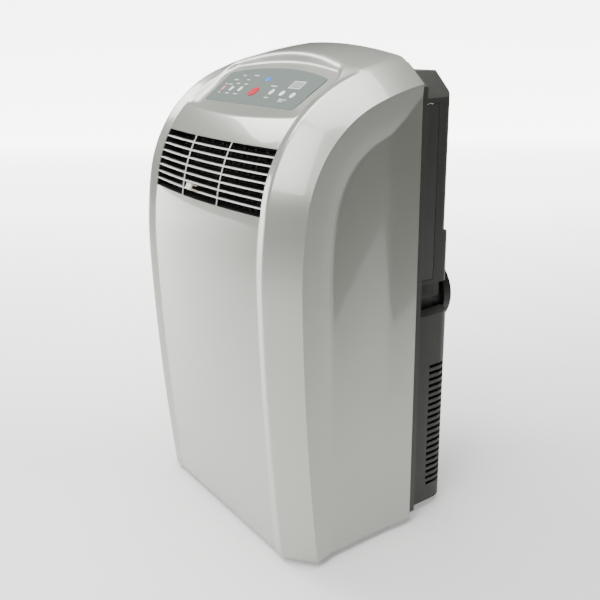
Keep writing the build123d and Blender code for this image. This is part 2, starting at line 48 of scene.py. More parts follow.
# ---------------------------------------------------------------- camera
# A normal lens at standing height, off the right front corner, looking a little down.  Its own
# right and up directions set how it is turned.
LENS_MM = 47.4
SENSOR_MM = 36.0
CAMERA_PLACE = (1.0902, -0.7554, 0.830)
CAMERA_RIGHT = Vector((0.57997, 0.81446, -0.01731))
CAMERA_UP = Vector((-0.25820, 0.20393, 0.94432))
camera_data = bpy.data.cameras.new("camera")
camera_data.lens = LENS_MM
camera_data.sensor_width = SENSOR_MM
camera = bpy.data.objects.new("camera", camera_data)
camera_turn = Matrix((CAMERA_RIGHT, CAMERA_UP, CAMERA_RIGHT.cross(CAMERA_UP))).transposed().to_4x4()
camera.matrix_world = Matrix.Translation(CAMERA_PLACE) @ camera_turn
scene.collection.objects.link(camera)
scene.camera = camera


# ---------------------------------------------------------------- front shell
# One large moulding in silver-pigmented ABS with a gloss coat: a crowned front, two side
# bands, side walls with a sunken arch, and a sunken key panel on top.  It is moulded in one
# shot, open at the back and below, and is screwed to the rear frame.
shell_low, shell_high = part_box("front_shell")
REAR = shell_high.y
BOTTOM = shell_low.z
HALF_WIDTH = shell_high.x
RIDGE_REACH = 0.238
FOOT = REAR - RIDGE_REACH
# The ridge between the crowned front and the side bands: tangent arcs seen from the side.
RIDGE_ARCS = [(4.700, 90.0), (0.700, 79.0), (0.222, 20.0), (0.509, 8.0)]
RIDGE_START = 95.45
RIDGE_X = 0.186
PANEL_X = 0.165
PANEL_STEP = 0.005
BAND_INSET = 0.037
ARCH_INSET = 0.092
ARCH_SETBACK = 0.0715
ARCH_FOOT = FOOT + ARCH_SETBACK
LEDGE_INSET = 0.074
LEDGE_X = 0.2298
RECESS_X = 0.2270
FLARE_LENGTH = 0.055
FLARE_Y = REAR - FLARE_LENGTH
FLARE_X = 0.2318
SHELL_WALL = 0.0028

arcs = []
foot_y, foot_z, heading = FOOT, BOTTOM, math.radians(RIDGE_START)
for radius, end in RIDGE_ARCS:
    centre = (foot_y + radius * math.sin(heading), foot_z - radius * math.cos(heading))
    end = math.radians(end)
    arcs.append((centre, radius, heading, end))
    foot_y, foot_z, heading = centre[0] - radius * math.sin(end), centre[1] + radius * math.cos(end), end

# The outlet's window lies between two headings of the ridge.
WINDOW_LOW = math.radians(80.43)
WINDOW_HIGH = math.radians(57.4)


def spread(start, end, count):
    """count values from just after start up to end."""
    return [start + (end - start) * (i + 1) / count for i in range(count)]


# Rows run from the foot to the rear edge: (arc, how far along it).
foot_top = arcs[0][0][1]
rows = [(0, 0.0)] + [(0, f) for f in spread(0.0, 1.0, count=26)]
rows += [(1, h) for h in spread(arcs[1][2], WINDOW_LOW, count=8)]
window_row = len(rows) - 1
rows += [(1, h) for h in spread(WINDOW_LOW, arcs[1][3], count=2)]
rows += [(2, h) for h in spread(arcs[2][2], WINDOW_HIGH, count=12)]
window_top_row = len(rows) - 1
rows += [(2, h) for h in spread(WINDOW_HIGH, arcs[2][3], count=60)]
rows += [(3, f) for f in spread(0.0, 1.0, count=40)]


def ridge_at(row, inset):
    """Point of the side outline drawn in by inset, and the outline's heading there."""
    arc, along = row
    (cy, cz), radius, _, end = arcs[arc]
    r = radius - inset
    if arc == 0:
        z = BOTTOM + (foot_top - BOTTOM) * along
        angle = math.asin((cz - z) / r)
        return cy - r * math.cos(angle), z, math.pi / 2 + angle
    if arc == 3:
        start = cy - r * math.sin(arcs[3][2])
        y = start + (REAR - start) * along
        angle = math.asin((cy - y) / r)
        return y, cz + r * math.cos(angle), angle
    return cy - r * math.sin(along), cz + r * math.cos(along), along


def smooth(low, high, value):
    """Ease from 0 at low to 1 at high."""
    t = min(1.0, max(0.0, (value - low) / (high - low)))
    return t * t * (3 - 2 * t)


def soft_max(a, b, k):
    """The larger of a and b, rounded over where they cross; k is how much."""
    return 0.5 * (a + b + math.sqrt((a - b) ** 2 + k * k))


def soft_min(a, b, k):
    """The smaller of a and b, rounded over where they cross."""
    return -soft_max(-a, -b, k)


CROWN_FRONT = 0.0105
CROWN_FRONT_TOP = 0.52
CROWN_REAR = 0.0085
CROWN_TURN = (math.radians(42), math.radians(12))


def crown_rise(z, angle):
    """How far the middle of the front stands out, from nothing at the foot to most at the rear."""
    return CROWN_FRONT * smooth(0.0, CROWN_FRONT_TOP, z) + CROWN_REAR * smooth(*CROWN_TURN, angle)


# Key panel: a plane sunk into the top, with a shallower shelf in front of it.
KEYS_SLOPE = math.radians(33.6)
keys_origin = Vector((0, REAR - 0.162, BOTTOM + 0.702))
keys_up = Vector((0, math.cos(KEYS_SLOPE), math.sin(KEYS_SLOPE)))
keys_out = Vector((0, -math.sin(KEYS_SLOPE), math.cos(KEYS_SLOPE)))
FLOOR_LEVEL = -0.0010
FLOOR_BLEND = 0.0016
SHELF_SLOPE = 0.27
SHELF_LIP = 0.001
SHELF_BLEND = 0.006
POCKET_X = 0.1590
POCKET_FRONT = -0.06
POCKET_FOOT = BOTTOM + 0.66
POCKET_BACK = 0.1180
POCKET_BOW = 0.023
POCKET_BOW_X = 0.149
POCKET_CORNER = 0.022
POCKET_EDGE = 0.0050
BACK_EDGE = 0.0060
BACK_STRETCH = (0.085, 0.105)


def sink_keys(point):
    """Point of the outer surface, lowered onto the key panel's floor where that is sunk."""
    local = point - keys_origin
    s, level = local.dot(keys_up), local.dot(keys_out)
    if s < POCKET_FRONT or point.z < POCKET_FOOT:
        return point
    floor = FLOOR_LEVEL + SHELF_SLOPE * soft_max(-s - SHELF_LIP, 0.0, SHELF_BLEND)
    back = POCKET_BACK - POCKET_BOW * (point.x / POCKET_BOW_X) ** 2
    dx, ds = abs(point.x) - (POCKET_X - POCKET_CORNER), s - (back - POCKET_CORNER)
    edge = math.hypot(max(dx, 0.0), max(ds, 0.0)) - POCKET_CORNER + min(max(dx, ds), 0.0)
    softness = POCKET_EDGE + BACK_EDGE * smooth(*BACK_STRETCH, s)
    inside = 1 - smooth(-softness, softness, edge)
    lowered = soft_min(level, floor, FLOOR_BLEND)
    return point + keys_out * ((lowered - level) * inside)


STEP_FADE = (-0.045, 0.000)
STEP_AT_FOOT = 0.6
STEP_FULL_HEIGHT = 0.3
FACET_BLEND = 0.0004
RIDGE_BLEND = 0.0022
BAND_SWELL = 0.0012
LEAN_TURN = (math.radians(60), math.radians(30))
POCKET_MARGIN = 0.004
TOUCHING = 1e-6


def front_point(x, row):
    """Crowned front, facet, ridge and band: the outer surface at x on one row."""
    side = abs(x)
    y, z, angle = ridge_at(row, 0.0)
    rear = smooth(*STEP_FADE, y)
    depth = STEP_AT_FOOT + (1 - STEP_AT_FOOT) * smooth(0.0, STEP_FULL_HEIGHT, z)
    step = PANEL_STEP * (1 - rear) * depth
    rise = crown_rise(z, angle)
    edge_x = PANEL_X + (RIDGE_X - PANEL_X) * rear
    bow = rise * max(0.0, 1 - (side / edge_x) ** 2)
    facet = step * (RIDGE_X - side) / (RIDGE_X - PANEL_X)
    front = step if side < PANEL_X else soft_min(step, facet, FACET_BLEND)
    band = BAND_INSET * (side - RIDGE_X) / (HALF_WIDTH - RIDGE_X)
    inset = soft_max(front, band, RIDGE_BLEND)
    inset -= BAND_SWELL * math.sin(math.pi * min(1.0, max(0.0, band / BAND_INSET)))
    if side >= HALF_WIDTH - TOUCHING:
        inset = BAND_INSET
    y, z, angle = ridge_at(row, inset)
    lean = smooth(*LEAN_TURN, angle)
    out_y = -1 + lean * (1 - math.sin(angle))
    out_z = lean * math.cos(angle)
    point = Vector((x, y + bow * out_y, z + bow * out_z))
    if side > PANEL_X + POCKET_MARGIN:
        return point
    return sink_keys(point)


LEDGE_BLEND = 0.0003
FLARE_BLEND = 0.0004
ARCH_TURN_IN = 0.8
PAST_ARCH = 0.001


def recess_x(y, inset):
    """Half width of the side wall: slanted ledge, arch, and the strip that flares to the rear."""
    ledge = HALF_WIDTH - (HALF_WIDTH - LEDGE_X) * (inset - BAND_INSET) / (LEDGE_INSET - BAND_INSET)
    arch = LEDGE_X - (LEDGE_X - RECESS_X) * (inset - LEDGE_INSET) / (ARCH_INSET - LEDGE_INSET)
    wall = soft_min(ledge, max(arch, RECESS_X), LEDGE_BLEND)
    flare = RECESS_X + (FLARE_X - RECESS_X) * (y - FLARE_Y) / (REAR - FLARE_Y)
    return soft_max(wall, flare, FLARE_BLEND)


def side_point(column, row):
    """Side wall: columns 0 to 1 cross the slanted ledges, 1 to 2 the flat panel to the rear edge."""
    outer_y, outer_z, _ = ridge_at(row, BAND_INSET)
    inset = BAND_INSET + (ARCH_INSET - BAND_INSET) * min(column, 1.0)
    y, z, _ = ridge_at(row, inset)
    if row[0] == 0:
        upright = outer_y + (ARCH_FOOT - outer_y) * min(column, 1.0)
        y = upright + (y - upright) * smooth(ARCH_TURN_IN, 1.0, row[1])
    if column > 1:
        y += (REAR - y) * (column - 1)
        inset = ARCH_INSET + PAST_ARCH
    return Vector((recess_x(y, inset), y, z))


# Columns from the middle out to the rear edge of the side wall; a letter names the stretch.
POCKET_SIDE_X = 0.135
RIDGE_OUT_X = 0.192
BAND_END_X = HALF_WIDTH - 0.0015
BAND_LAST_X = HALF_WIDTH - 0.0004
LEDGE_START = [0.0, 0.012, 0.04]
across = spread(0.0, POCKET_SIDE_X, count=27) + spread(POCKET_SIDE_X, PANEL_X, count=15)
window_column = len(across)
across += spread(PANEL_X, RIDGE_X, count=9) + spread(RIDGE_X, RIDGE_OUT_X, count=4)
across += spread(RIDGE_OUT_X, BAND_END_X, count=11) + [BAND_LAST_X]
inward = LEDGE_START + spread(LEDGE_START[-1], 1.0, count=20) + spread(1.0, 2.0, count=26)
half = [("x", v) for v in across] + [("s", v) for v in inward]
columns = [(-1, *c) for c in reversed(half)] + [(1, "x", 0.0)] + [(1, *c) for c in half]
middle = len(half)

shell = bmesh.new()
bmesh.ops.create_grid(shell, x_segments=len(columns) - 1, y_segments=len(rows) - 1, size=1.0)
grid_place = {}
for vert in shell.verts:
    i = round((vert.co.x + 1) / 2 * (len(columns) - 1))
    j = round((vert.co.y + 1) / 2 * (len(rows) - 1))
    sign, kind, value = columns[i]
    point = front_point(value, rows[j]) if kind == "x" else side_point(value, rows[j])
    vert.co = Vector((sign * point.x, point.y, point.z))
    grid_place[vert.index] = (i, j)
window = []
for face in shell.faces:
    places = [grid_place[v.index] for v in face.verts]
    low_i, high_i = min(p[0] for p in places), max(p[0] for p in places)
    low_j, high_j = min(p[1] for p in places), max(p[1] for p in places)
    if middle - window_column <= low_i and high_i <= middle + window_column \
            and window_row <= low_j and high_j <= window_top_row:
        window.append(face)
bmesh.ops.delete(shell, geom=window, context="FACES")
bmesh.ops.remove_doubles(shell, verts=shell.verts, dist=TOUCHING)
SHARP_ANGLE = math.radians(38)


def add_piece(name, bm, material, body, slot, *replaced):
    """Turn a finished bmesh into a smooth-shaded piece that rides on a CAD body."""
    bmesh.ops.recalc_face_normals(bm, faces=bm.faces)
    mesh = bpy.data.meshes.new(name)
    bm.to_mesh(mesh)
    bm.free()
    piece = bpy.data.objects.new(name, mesh)
    scene.collection.objects.link(piece)
    mesh.shade_smooth()
    mesh.set_sharp_from_angle(angle=SHARP_ANGLE)
    mesh.materials.append(material)
    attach(piece, body)
    if replaced:
        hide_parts(*replaced)
    return piece


# Sockets of a colour mix node: its two colours and what it gives.
MIX_A, MIX_B, MIX_OUT = 6, 7, 2
HAZE = 0.15


def moulded(name, colour, metallic=0.0, roughness=0.45, coat=0.0, fleck=0.02, grain=900.0, bump=0.05,
            shine=0.5):
    """Moulded or cast stuff: fine grain in colour and relief, and a slow haze in its gloss."""
    material = bpy.data.materials.new(name)
    material.use_nodes = True
    tree = material.node_tree
    shader = tree.nodes["Principled BSDF"]
    shader.inputs["Metallic"].default_value = metallic
    shader.inputs["Coat Weight"].default_value = coat
    shader.inputs["Coat Roughness"].default_value = 0.04
    shader.inputs["Specular IOR Level"].default_value = shine
    place = tree.nodes.new("ShaderNodeTexCoord")
    flecks = tree.nodes.new("ShaderNodeTexNoise")
    flecks.inputs["Scale"].default_value = grain
    flecks.inputs["Detail"].default_value = 3.0
    slow = tree.nodes.new("ShaderNodeTexNoise")
    slow.inputs["Scale"].default_value = 9.0
    slow.inputs["Detail"].default_value = 5.0
    tint = tree.nodes.new("ShaderNodeMapRange")
    tint.inputs["From Min"].default_value = 0.3
    tint.inputs["From Max"].default_value = 0.7
    tint.inputs["To Min"].default_value = 1 - fleck
    tint.inputs["To Max"].default_value = 1 + fleck
    shade = tree.nodes.new("ShaderNodeMapRange")
    shade.inputs["To Min"].default_value = roughness * (1 - HAZE)
    shade.inputs["To Max"].default_value = roughness * (1 + HAZE)
    mix = tree.nodes.new("ShaderNodeMix")
    mix.data_type = "RGBA"
    mix.blend_type = "MULTIPLY"
    mix.inputs["Factor"].default_value = 1.0
    mix.inputs[MIX_A].default_value = (*colour, 1)
    relief = tree.nodes.new("ShaderNodeBump")
    relief.inputs["Strength"].default_value = bump
    relief.inputs["Distance"].default_value = 0.0004
    link = tree.links.new
    link(place.outputs["Object"], flecks.inputs["Vector"])
    link(place.outputs["Object"], slow.inputs["Vector"])
    link(flecks.outputs["Fac"], tint.inputs["Value"])
    link(slow.outputs["Fac"], shade.inputs["Value"])
    link(tint.outputs["Result"], mix.inputs[MIX_B])
    link(mix.outputs[MIX_OUT], shader.inputs["Base Color"])
    link(shade.outputs["Result"], shader.inputs["Roughness"])
    link(flecks.outputs["Fac"], relief.inputs["Height"])
    link(relief.outputs["Normal"], shader.inputs["Normal"])
    return material


silver = moulded("silver_gloss_abs", (0.385, 0.39, 0.352), metallic=0.45, roughness=0.30, coat=1.0,
                 fleck=0.03, bump=0.02)
shell_piece = add_piece("front_shell_moulding", shell, silver, "cabinet", "shell_silver", "front_shell")
thickness = shell_piece.modifiers.new("wall", "SOLIDIFY")
thickness.thickness = SHELL_WALL
thickness.offset = -1
rounding = shell_piece.modifiers.new("edge_radius", "BEVEL")
rounding.width = 0.0006
rounding.segments = 2
rounding.limit_method = "ANGLE"
rounding.angle_limit = SHARP_ANGLE
rounding.harden_normals = True


# ---------------------------------------------------------------- outlet grille
# Seven silver ABS slats on two upright bars, snapped in behind the shell's window.  Their noses
# follow the crown of the shell; their tails end on one flat plane in front of the vanes.
OUTLET_LOW = Vector((0, FOOT - 0.009, BOTTOM + 0.562))
OUTLET_HIGH = Vector((0, FOOT + 0.031, BOTTOM + 0.6545))
OUTLET_DEPTH = 0.0130
SLAT_ROWS = 8
SLAT_THICK = 0.0018
SLAT_DEPTH = 0.0200
SLAT_NOSE = 0.0011
SLAT_SETBACK = 0.0004
SLAT_TUCK = 0.0005
SLAT_STEPS = 36
SECTION_POINTS = 14
TAIL_HALF = 0.4
TAIL_START = 0.45
BAR_X = 0.055
BAR_DEPTH = 0.006
BAR_SETBACK = 0.0006
BAR_TUCK = 0.0008
BAR_STEPS = 32
HALVINGS = 26


def front_at(x, z):
    """y of the shell's outer surface at x and z, within the rows around the window."""
    low, high = math.radians(40), math.radians(90)
    for _ in range(HALVINGS):
        heading = (low + high) / 2
        arc = 1 if heading > arcs[1][3] else 2
        if front_point(x, (arc, heading)).z > z:
            low = heading
        else:
            high = heading
    return front_point(x, (arc, heading)).y


def tail_at(z):
    """y of the flat plane that the slats' tails end on."""
    share = (z - OUTLET_LOW.z) / (OUTLET_HIGH.z - OUTLET_LOW.z)
    return OUTLET_LOW.y + (OUTLET_HIGH.y - OUTLET_LOW.y) * share + OUTLET_DEPTH


def nosed_strip(bm, path, thick, across, nose):
    """Sweep a round-nosed section along path; each path item is (front point, tail point)."""
    around = SECTION_POINTS
    # The 'inner' layer holds how far in towards the tail a point lies; the grille's material darkens by it
    # as painted shade.
    inner = bm.verts.layers.float.get("inner") or bm.verts.layers.float.new("inner")
    made = bmesh.ops.create_grid(bm, x_segments=len(path) - 1, y_segments=around, size=1.0)
    for vert in made["verts"]:
        front, tail = path[round((vert.co.x + 1) / 2 * (len(path) - 1))]
        j = round((vert.co.y + 1) / 2 * around)
        inward = (tail - front).normalized()
        if j in (0, 1, around - 1, around):
            reach = 1.0 if j in (0, around) else TAIL_START
            core, side = front.lerp(tail, reach), (-TAIL_HALF if j < 2 else TAIL_HALF)
            vert[inner] = reach
        else:
            angle = math.pi * (j - 2) / (around - 4) - math.pi / 2
            core, side = front + inward * (nose * (1 - math.cos(angle))), math.sin(angle) / 2
        vert.co = core + across * (side * thick)


grille = bmesh.new()
pitch = (OUTLET_HIGH.z - OUTLET_LOW.z) / SLAT_ROWS
for k in range(1, SLAT_ROWS):
    z = OUTLET_LOW.z + k * pitch
    path = []
    for i in range(2 * SLAT_STEPS + 1):
        x = (i / SLAT_STEPS - 1) * (PANEL_X + SLAT_TUCK)
        front = front_at(x, z) + SLAT_SETBACK
        path.append((Vector((x, front, z)), Vector((x, min(front + SLAT_DEPTH, tail_at(z)), z))))
    nosed_strip(grille, path, SLAT_THICK, Vector((0, 0, 1)), SLAT_NOSE)
for x in (-BAR_X, BAR_X):
    path = []
    for i in range(BAR_STEPS + 1):
        z = OUTLET_LOW.z - BAR_TUCK + (OUTLET_HIGH.z - OUTLET_LOW.z + 2 * BAR_TUCK) * i / BAR_STEPS
        front = front_at(x, z) + BAR_SETBACK
        path.append((Vector((x, front, z)), Vector((x, front + BAR_DEPTH, z))))
    nosed_strip(grille, path, SLAT_THICK, Vector((1, 0, 0)), SLAT_NOSE)

# Painted shade: the satin finish is darkened from the slats' noses to their tails, deep between the slats
# where little light reaches.
satin_silver = moulded("satin_silver_abs", (0.66, 0.67, 0.64), metallic=0.1, roughness=0.36, coat=0.5,
                       fleck=0.03, grain=1100, bump=0.02)
tree = satin_silver.node_tree
# Painted shade: how far in towards the tail each point lies sets how much the colour is darkened.
painted_shade_depth = tree.nodes.new("ShaderNodeAttribute")
painted_shade_depth.attribute_name = "inner"
painted_shade_ramp = tree.nodes.new("ShaderNodeMapRange")
painted_shade_ramp.inputs["To Min"].default_value = 1.0
painted_shade_ramp.inputs["To Max"].default_value = 0.02
painted_shade_ramp.inputs["From Max"].default_value = 0.4
painted_shade_mix = tree.nodes.new("ShaderNodeMix")
painted_shade_mix.data_type = "RGBA"
painted_shade_mix.blend_type = "MULTIPLY"
painted_shade_mix.inputs["Factor"].default_value = 1.0
shader = tree.nodes["Principled BSDF"]
tree.links.new(painted_shade_depth.outputs["Fac"], painted_shade_ramp.inputs["Value"])
tree.links.new(shader.inputs["Base Color"].links[0].from_socket, painted_shade_mix.inputs[MIX_A])
tree.links.new(painted_shade_ramp.outputs["Result"], painted_shade_mix.inputs[MIX_B])
tree.links.new(painted_shade_mix.outputs[MIX_OUT], shader.inputs["Base Color"])
add_piece("outlet_grille_slats", grille, satin_silver, "cabinet", "grille_silver", "outlet_grille")

# The grille's surround: a black ABS sleeve that lines the window from the shell back to the duct.
SLEEVE_HALF_STEPS = 30
SLEEVE_UP_STEPS = 16
SLEEVE_GAP = 0.0002
SLEEVE_SETBACK = 0.0022
SLEEVE_OVERLAP = 0.002
sleeve = bmesh.new()
outline = [(-1 + i / SLEEVE_HALF_STEPS, 0.0) for i in range(2 * SLEEVE_HALF_STEPS)]
outline += [(1.0, i / SLEEVE_UP_STEPS) for i in range(SLEEVE_UP_STEPS)]
outline += [(1 - i / SLEEVE_HALF_STEPS, 1.0) for i in range(2 * SLEEVE_HALF_STEPS)]
outline += [(-1.0, 1 - i / SLEEVE_UP_STEPS) for i in range(SLEEVE_UP_STEPS + 1)]
made = bmesh.ops.create_grid(sleeve, x_segments=len(outline) - 1, y_segments=3, size=1.0)
for vert in made["verts"]:
    across, along = outline[round((vert.co.x + 1) / 2 * (len(outline) - 1))]
    depth = (vert.co.y + 1) / 2
    x = across * (PANEL_X + SLEEVE_GAP)
    z = OUTLET_LOW.z - SLEEVE_GAP + (OUTLET_HIGH.z - OUTLET_LOW.z + 2 * SLEEVE_GAP) * along
    y = front_at(x, z) + SLEEVE_SETBACK
    vert.co = Vector((x, y + (tail_at(z) + SLEEVE_OVERLAP - y) * depth, z))
bmesh.ops.remove_doubles(sleeve, verts=sleeve.verts, dist=TOUCHING)
black = moulded("black_abs", (0.012, 0.012, 0.013), fleck=0.15, grain=700, bump=0.15)
add_piece("outlet_sleeve", sleeve, black, "cabinet", "duct_black")


# ---------------------------------------------------------------- carried-over mouldings
# The rear frame and covers, the tray and the small fittings keep the CAD's own outline.  Each is
# merged into clean faces and gets the small radius that its mould or press would leave.
CAD_TOUCHING = 2e-6
FLAT_ANGLE = math.radians(0.6)
EDGE_ANGLE = math.radians(28)


def from_cad(node, material, body, slot, radius, segments=2):
    """A merged copy of a CAD node with rounded edges, in place of the node."""
    bm = bmesh.new()
    bm.from_mesh(nodes[node].data)
    bmesh.ops.remove_doubles(bm, verts=bm.verts, dist=CAD_TOUCHING)
    bmesh.ops.dissolve_limit(bm, angle_limit=FLAT_ANGLE, verts=bm.verts, edges=bm.edges)
    piece = add_piece(node + "_rounded", bm, material, body, slot, node)
    rounding = piece.modifiers.new("edge_radius", "BEVEL")
    rounding.width = radius
    rounding.segments = segments
    rounding.limit_method = "ANGLE"
    rounding.angle_limit = EDGE_ANGLE
    rounding.harden_normals = True


charcoal = moulded("charcoal_grained_abs", (0.052, 0.054, 0.047), roughness=0.55, fleck=0.10,
                   grain=1500, bump=0.35, shine=0.3)
charcoal_satin = moulded("charcoal_satin_abs", (0.062, 0.064, 0.057), roughness=0.5, fleck=0.08,
                         grain=1300, bump=0.15, shine=0.3)
from_cad("rear_frame", charcoal_satin, "cabinet", "housing_charcoal", radius=0.0012)
from_cad("rear_cover_upper", charcoal, "cabinet", "housing_charcoal", radius=0.0012)
from_cad("rear_cover_lower", charcoal, "cabinet", "housing_charcoal", radius=0.0010)

filter_grey = moulded("filter_frame_grey", (0.04, 0.042, 0.039), roughness=0.5, fleck=0.08, grain=1200,
                      bump=0.2)
gland_rubber = moulded("gland_rubber", (0.02, 0.02, 0.02), roughness=0.7, fleck=0.2, bump=0.3)
plug_rubber = moulded("plug_rubber", (0.03, 0.03, 0.03), roughness=0.65, fleck=0.2, bump=0.3)
cream_acetal = moulded("cream_acetal", (0.72, 0.68, 0.56), roughness=0.4, coat=0.2, grain=700)
collar_abs = moulded("collar_abs", (0.02, 0.02, 0.019), roughness=0.5, fleck=0.15, bump=0.2, shine=0.3)
screw_zinc = moulded("zinc_plated_steel", (0.28, 0.28, 0.26), metallic=1.0, roughness=0.35, fleck=0.15,
                     grain=600, bump=0.1)
from_cad("air_filter", filter_grey, "air_filter", "filter_grey", radius=0.0008)
from_cad("base_tray", black, "cabinet", "tray_black", radius=0.0010)
from_cad("cord_gland", gland_rubber, "cabinet", "collar_black", radius=0.0005)
from_cad("drain_plug", plug_rubber, "drain_plug", "foot_rubber", radius=0.0005)
from_cad("louvre_tab", cream_acetal, "louvre_slider", "tab_cream", radius=0.0012, segments=3)
from_cad("exhaust_collar", collar_abs, "cabinet", "collar_black", radius=0.0012)
from_cad("frame_screws", screw_zinc, "cabinet", "screw_zinc", radius=0.0002)


# ---------------------------------------------------------------- key panel
# A grey polyester overlay glued into the sunken panel, with printed marks, soft-touch keys,
# a blue receiver lens and a small display behind a clear window.
overlay_grey = moulded("overlay_polyester", (0.095, 0.118, 0.105), roughness=0.6, fleck=0.015, grain=1600,
                       bump=0.06, shine=0.2)
key_white = moulded("key_silicone_white", (0.80, 0.80, 0.78), roughness=0.4, coat=0.2, fleck=0.015,
                    bump=0.04)
key_pink = moulded("key_silicone_pink", (0.55, 0.16, 0.20), roughness=0.5, fleck=0.015, bump=0.04)
key_red = moulded("key_silicone_red", (0.42, 0.002, 0.020), roughness=0.6, bump=0.04, shine=0.2)
lens_blue = moulded("lens_blue_acrylic", (0.02, 0.16, 0.70), roughness=0.4, coat=0.2, fleck=0.03, grain=500,
                    bump=0.02, shine=0.3)
display_dark = moulded("display_glass", (0.26, 0.29, 0.27), roughness=0.2, coat=0.6, fleck=0.03, grain=700,
                       bump=0.02)
from_cad("control_overlay", overlay_grey, "cabinet", "overlay_grey", radius=0.0004)
for key in ("speed_key", "mode_key", "timer_key", "cooler_key", "warmer_key"):
    from_cad(key, key_white, key, "key_white", radius=0.0006, segments=3)
from_cad("sleep_key", key_pink, "sleep_key", "key_pink", radius=0.0006, segments=3)
from_cad("power_key", key_red, "power_key", "key_red", radius=0.0008, segments=3)
from_cad("receiver_lens", lens_blue, "cabinet", "lens_blue", radius=0.0004)
from_cad("display_window", display_dark, "cabinet", "display_grey", radius=0.0003)


def on_panel(x, s, level):
    """Point of the key panel: x across, s up its slope, level above the overlay's face."""
    return keys_origin + Vector((x, 0, 0)) + keys_up * s + keys_out * level


panel_turn = Matrix((Vector((1, 0, 0)), keys_up, keys_out)).transposed()
INK_LEVEL = 0.00008
INK_THICK = 0.00012


def printed_bar(bm, x, s, width, height, level=INK_LEVEL):
    """One flat printed dash on the overlay."""
    place = Matrix.Translation(on_panel(x, s, level)) @ panel_turn.to_4x4()
    bmesh.ops.create_cube(bm, size=1.0, matrix=place @ Matrix.Diagonal((width, height, INK_THICK, 1)))


# Rows of small dashes stand for the printed words: (middle across, height up the slope, length).
LABELS = [(-0.109, 0.0215, 0.009), (-0.084, 0.0215, 0.011), (-0.057, 0.0215, 0.013), (0.036, 0.0205, 0.012),
          (0.078, 0.0195, 0.010), (0.089, 0.0195, 0.006), (0.080, 0.0155, 0.013),
          (-0.114, 0.0435, 0.007), (-0.100, 0.0435, 0.010), (-0.080, 0.0470, 0.012), (-0.056, 0.0470, 0.012),
          (-0.098, 0.0560, 0.014), (-0.062, 0.0580, 0.009), (-0.086, 0.0680, 0.010), (-0.052, 0.0700, 0.013),
          (0.026, 0.0480, 0.018)]
DASH_PITCH = 0.0022
DASH_WIDTH = 0.0015
DASH_HEIGHT = 0.0017
DASH_VARY = 0.0006
DASH_SHIFT = 0.0002
prints = bmesh.new()
for x, s, length in LABELS:
    count = max(2, round(length / DASH_PITCH))
    for i in range(count):
        along = DASH_PITCH * (i - (count - 1) / 2)
        tall = DASH_HEIGHT + DASH_VARY * ((i * 7) % 3) / 2
        printed_bar(prints, x + along, s + DASH_SHIFT * (i % 2), DASH_WIDTH, tall)

# A printed border round the display window: (x, s, width, height) of what it frames.
DISPLAY = (0.081, 0.055, 0.028, 0.015)
BORDER_LINE = 0.0011
BORDER_OUT_X = 0.0006
BORDER_OUT_S = 0.0004
BORDER_OVERRUN = 0.0019
display_x, display_s, display_width, display_height = DISPLAY
for sign in (-1, 1):
    printed_bar(prints, display_x, display_s + sign * (display_height / 2 + BORDER_OUT_S),
                display_width + 4 * BORDER_OUT_X, BORDER_LINE)
    printed_bar(prints, display_x + sign * (display_width / 2 + BORDER_OUT_X), display_s,
                BORDER_LINE, display_height + BORDER_OVERRUN)
print_white = moulded("print_ink_white", (0.70, 0.71, 0.69), roughness=0.6, fleck=0.03, grain=1200, bump=0.1)
add_piece("overlay_printing", prints, print_white, "cabinet", "overlay_grey")

# Grey symbols printed on the keys themselves, which travel with them: bars (x, s, width, height)
# from the middle of each key.
key_ink = moulded("key_ink_grey", (0.16, 0.17, 0.17), roughness=0.6, fleck=0.03, grain=1200, bump=0.1)
INK_LIFT = 0.00004
SYMBOLS = {
    "speed_key": [(0, 0, 0.0008, 0.0050)],
    "mode_key": [(0, 0.0012, 0.0034, 0.0008), (0, -0.0012, 0.0034, 0.0008)],
    "timer_key": [(0, 0.0006, 0.0008, 0.0040), (0.0009, -0.0012, 0.0024, 0.0008)],
    "cooler_key": [(0, 0, 0.0040, 0.0009)],
    "warmer_key": [(0, 0, 0.0040, 0.0009), (0, 0, 0.0009, 0.0040)],
}
for key, bars in SYMBOLS.items():
    key_low, key_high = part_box(key)
    key_x = ((key_low + key_high) / 2).x
    places = [v.co - keys_origin for v in nodes[key].data.vertices]
    crown = max(place.dot(keys_out) for place in places)
    key_s = (max(place.dot(keys_up) for place in places) + min(place.dot(keys_up) for place in places)) / 2
    symbol = bmesh.new()
    for dx, ds, width, height in bars:
        printed_bar(symbol, key_x + dx, key_s + ds, width, height, crown + INK_LIFT)
    add_piece(key + "_symbol", symbol, key_ink, key, "key_white")

# Dim segments of the unlit display, under its window: two digits of seven bars.
DIGIT_X = 0.006
SEGMENT_LEVEL = 0.0001
SEGMENT_LINE = 0.0009
SEGMENT_WIDTH = 0.0052
SEGMENT_HEIGHT = 0.0036
SEGMENT_SIDE = 0.0031
SEGMENT_RISE = 0.0022
digit_bars = [(0, rise * 2 * SEGMENT_RISE, SEGMENT_WIDTH, SEGMENT_LINE) for rise in (1, 0, -1)]
digit_bars += [(side * SEGMENT_SIDE, rise * SEGMENT_RISE, SEGMENT_LINE, SEGMENT_HEIGHT)
               for rise in (1, -1) for side in (-1, 1)]
segments = bmesh.new()
for digit in (-DIGIT_X, DIGIT_X):
    for dx, ds, width, height in digit_bars:
        printed_bar(segments, display_x + digit + dx, display_s + ds, width, height, SEGMENT_LEVEL)
segment_grey = moulded("segment_grey", (0.40, 0.43, 0.40), roughness=0.4, fleck=0.03)
add_piece("display_segments", segments, segment_grey, "cabinet", "display_grey")


